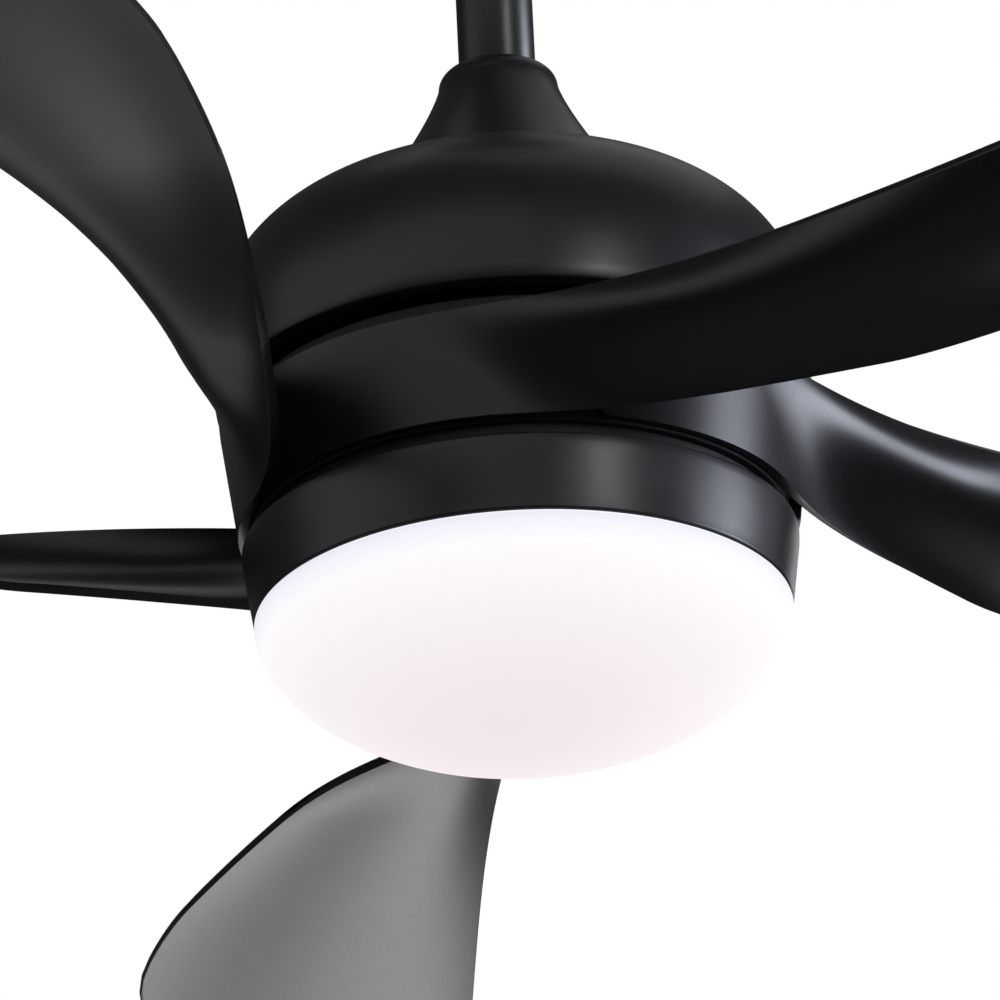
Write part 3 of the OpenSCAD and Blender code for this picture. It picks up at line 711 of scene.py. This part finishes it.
def make_ring(node, body, slot, pattern, *rows):
    """Replaces a node with rings of the pattern; a row is (count, radius, start in degrees, height)."""
    whole = bmesh.new()
    for count, radius, start, height in rows:
        row = make_object(node + "_row", pattern.data.copy())
        modifier = row.modifiers.new("ring", "NODES")
        modifier.node_group = RING_TREE
        settings = {"Count": count, "Radius": radius, "Start": math.radians(start), "Height": height,
                    "Finish": FINISHES[slot]}
        for name, value in settings.items():
            modifier[RING_SOCKETS[name]] = value
        settle(row)
        whole.from_mesh(row.data)
        bpy.data.objects.remove(row)
    mesh = bpy.data.meshes.new(node + "_set")
    whole.to_mesh(mesh)
    whole.free()
    bpy.data.objects.remove(pattern)
    ring = make_object(node + "_set", mesh)
    shade(ring, 40)
    return finish_piece(ring, body, slot, node)


def screw(shank_r, head_r, head_h, length, head_down=False):
    """Pan-head screw with its seat at z = 0, a hexagon socket and rolled grooves for a thread."""
    pitch = 0.8 * MM
    grooves = int((length - 1.2 * MM) / pitch)
    line = [(0, -length, 0), (shank_r * 0.7, -length, 0)]
    for k in range(grooves):
        z = -length + 0.5 * MM + k * pitch
        line += [(shank_r, z, 0), (shank_r * 0.86, z + pitch / 2, 0)]
    line += [(shank_r, -0.4 * MM, 0), (shank_r, 0, 0), (head_r * 0.97, 0, 0), (head_r, head_h * 0.08, 0)]
    line += [(head_r * (0.8 + 0.2 * math.cos(a)), head_h * (0.3 + 0.7 * math.sin(a)), 0)
             for a in [math.radians(15 * k) for k in range(7)]]
    line += [(head_r * 0.47, head_h, 1), (head_r * 0.45, head_h * 0.93, 1), (head_r * 0.45, head_h * 0.4, 1),
             (0, head_h * 0.4, 0)]
    count, around, side = len(line), 36, -1 if head_down else 1
    verts, faces = [], []
    for s in range(around):
        angle = 2 * math.pi * s / around
        flat = math.cos(math.pi / 6) / math.cos(angle % (math.pi / 3) - math.pi / 6)
        for r, z, six_sided in line:
            reach = r * flat if six_sided else r
            verts.append((reach * math.cos(angle), reach * math.sin(angle), side * z))
        there = (s + 1) % around * count
        faces += [(s * count + i, there + i, there + i + 1, s * count + i + 1) for i in range(count - 1)]
    return solidify_normals(mesh_of("screw_pattern", verts, faces))


def chip():
    """One LED: a small block with a shallow well in its face."""
    x, y, deep = 1.75 * MM, 1.4 * MM, 0.8 * MM
    mesh = bmesh.new()
    bmesh.ops.create_cube(mesh, size=1)
    bmesh.ops.scale(mesh, vec=(2 * x, 2 * y, deep), verts=mesh.verts)
    bmesh.ops.translate(mesh, vec=(0, 0, -deep / 2), verts=mesh.verts)
    face = min(mesh.faces, key=lambda f: f.normal.z)
    bmesh.ops.inset_region(mesh, faces=[face], thickness=0.35 * MM)
    bmesh.ops.translate(mesh, vec=(0, 0, 0.15 * MM), verts=face.verts)
    data = bpy.data.meshes.new("chip_pattern")
    mesh.to_mesh(data)
    mesh.free()
    return make_object("chip_pattern", data)


def make_small_parts():
    """Screws as shank radius, head radius, head height and length, then where they sit."""
    make_ring("dome_screws", "hanger", "steel", screw(2 * MM, 3.6 * MM, 2 * MM, 8 * MM),
              (4, 33 * MM, 45, z_dome_top))
    make_ring("hub_screws", "rotor", "steel", screw(2.05 * MM, 4.5 * MM, 3 * MM, 7 * MM, True),
              (5, 45 * MM, first_blade_angle, z_web))
    make_ring("ring_screws", "hanger", "steel", screw(1.7 * MM, 3.2 * MM, 1.8 * MM, 4.2 * MM, True),
              (3, 82 * MM, 30, z_pan))
    board_t = 1.6 * MM
    rows = [(count, radius, 9, z_pan - board_t)
            for count, radius in ((8, 28 * MM), (12, 50 * MM), (20, 68 * MM))]
    make_ring("led_chips", "hanger", "led_phosphor", chip(), *rows)


# ---------- working parts ----------
MADE_HERE = {"dome_housing", "coupling_cover", "light_ring", "lens", "downrod", "canopy", "blade_hub",
             "blade_1", "blade_2", "blade_3", "blade_4", "blade_5",
             "dome_screws", "hub_screws", "ring_screws", "led_chips"}


def make_working_parts():
    """Gives every part that keeps its own shape its finish."""
    slots = {s["node"]: s["material_slot"] for s in frame["record"]["subparts"]}
    for node, slot in slots.items():
        if node not in MADE_HERE:
            part = frame["nodes"][node]
            part.data.materials.clear()
            part.data.materials.append(FINISHES[slot])


# ---------- studio ----------
def make_floor():
    """A pale floor far below. It is clear from underneath, so that the fan can be looked at from there."""
    half, z = 60, -4.2
    floor = mesh_of("studio_floor", [(x, y, z) for x, y in ((-half, -half), (half, -half), (half, half),
                                                            (-half, half))], [(0, 1, 2, 3)])
    paint = bpy.data.materials.new("pale_floor")
    paint.use_nodes = True
    nodes, links = paint.node_tree.nodes, paint.node_tree.links
    shader = nodes["Principled BSDF"]
    shader.inputs["Base Color"].default_value = (0.6, 0.6, 0.6, 1)
    shader.inputs["Roughness"].default_value = 0.7
    shader.inputs["Emission Color"].default_value = (1, 1, 1, 1)
    # The glow is for the camera alone, so that the floor looks pale and still gives the blades little light
    seen = nodes.new("ShaderNodeLightPath")
    glow = nodes.new("ShaderNodeMath")
    glow.operation = "MULTIPLY"
    glow.inputs[1].default_value = 0.9
    links.new(seen.outputs["Is Camera Ray"], glow.inputs[0])
    links.new(glow.outputs["Value"], shader.inputs["Emission Strength"])
    clear = nodes.new("ShaderNodeBsdfTransparent")
    side = nodes.new("ShaderNodeNewGeometry")
    choose = nodes.new("ShaderNodeMixShader")
    links.new(side.outputs["Backfacing"], choose.inputs["Fac"])
    links.new(shader.outputs["BSDF"], choose.inputs[1])
    links.new(clear.outputs["BSDF"], choose.inputs[2])
    links.new(choose.outputs["Shader"], nodes["Material Output"].inputs["Surface"])
    floor.data.materials.append(paint)


def make_sky():
    """White to look at, and a softer grey as light."""
    world = bpy.data.worlds.new("studio_white")
    bpy.context.scene.world = world
    world.use_nodes = True
    nodes, links = world.node_tree.nodes, world.node_tree.links
    nodes.clear()
    output = nodes.new("ShaderNodeOutputWorld")
    seen, light = nodes.new("ShaderNodeBackground"), nodes.new("ShaderNodeBackground")
    seen.inputs["Color"].default_value = (1, 1, 1, 1)
    light.inputs["Color"].default_value = (0.92, 0.95, 1, 1)
    light.inputs["Strength"].default_value = 0.07
    path = nodes.new("ShaderNodeLightPath")
    choose = nodes.new("ShaderNodeMixShader")
    links.new(path.outputs["Is Camera Ray"], choose.inputs["Fac"])
    links.new(light.outputs["Background"], choose.inputs[1])
    links.new(seen.outputs["Background"], choose.inputs[2])
    links.new(choose.outputs["Shader"], output.inputs["Surface"])


def soft_light(name, place, aim, size, watts, colour=(1, 1, 1)):
    data = bpy.data.lights.new(name, "AREA")
    data.shape = "RECTANGLE"
    data.size, data.size_y = size
    data.energy = watts
    data.color = colour
    lamp = bpy.data.objects.new(name, data)
    bpy.context.scene.collection.objects.link(lamp)
    lamp.location = place
    lamp.rotation_euler = (Vector(aim) - Vector(place)).to_track_quat("-Z", "Y").to_euler()
    lamp.visible_camera = False
    return lamp


def make_lights():
    middle = (0, 0, -0.4)
    soft_light("right_softbox", (2.6, 0.1, -0.28), middle, (1.0, 1.0), 44, (0.82, 0.87, 1))
    soft_light("front_right_strip", (1.5, -2.2, -0.15), middle, (0.5, 0.6), 13, (0.93, 0.96, 1))
    soft_light("front_fill", (-0.9, -2.6, 0.5), middle, (3.2, 1.8), 11)
    soft_light("left_card", (-2.7, -0.9, 0.1), middle, (2.4, 1.8), 9)
    soft_light("overhead_card", (0.5, 0.4, 1.7), middle, (2.2, 2.2), 6)
    soft_light("rear_right_rim", (1.0, 2.5, 0.25), middle, (0.5, 0.9), 2.7)
    soft_light("far_low_card", (0.62, 2.6, -1.35), (0, 0.4, -0.42), (1.7, 0.9), 12)
    soft_light("far_card", (-0.3, 2.8, -0.75), middle, (1.7, 0.7), 2.2)


def make_camera():
    """Long lens, well below the fan and looking up at it."""
    climb, roll, distance = 24.02, -2.73, 2.733
    turn = (Matrix.Rotation(math.radians(90 + climb), 4, "X") @ Matrix.Rotation(math.radians(roll), 4, "Z"))
    aim = Vector((-0.0062, -0.0164, z_lip + 0.0369))
    data = bpy.data.cameras.new("camera")
    data.lens = 291.4
    data.clip_end = 60
    camera = bpy.data.objects.new("camera", data)
    bpy.context.scene.collection.objects.link(camera)
    camera.matrix_world = Matrix.Translation(aim) @ turn @ Matrix.Translation((0, 0, distance))
    bpy.context.scene.camera = camera


make_camera()
make_dome()
make_coupling_cover()
make_light_ring()
make_lens()
make_downrod()
make_canopy()
make_hub_drum()
make_blades()
make_small_parts()
make_working_parts()
make_floor()
make_sky()
make_lights()
bpy.context.scene.view_settings.view_transform = "Standard"
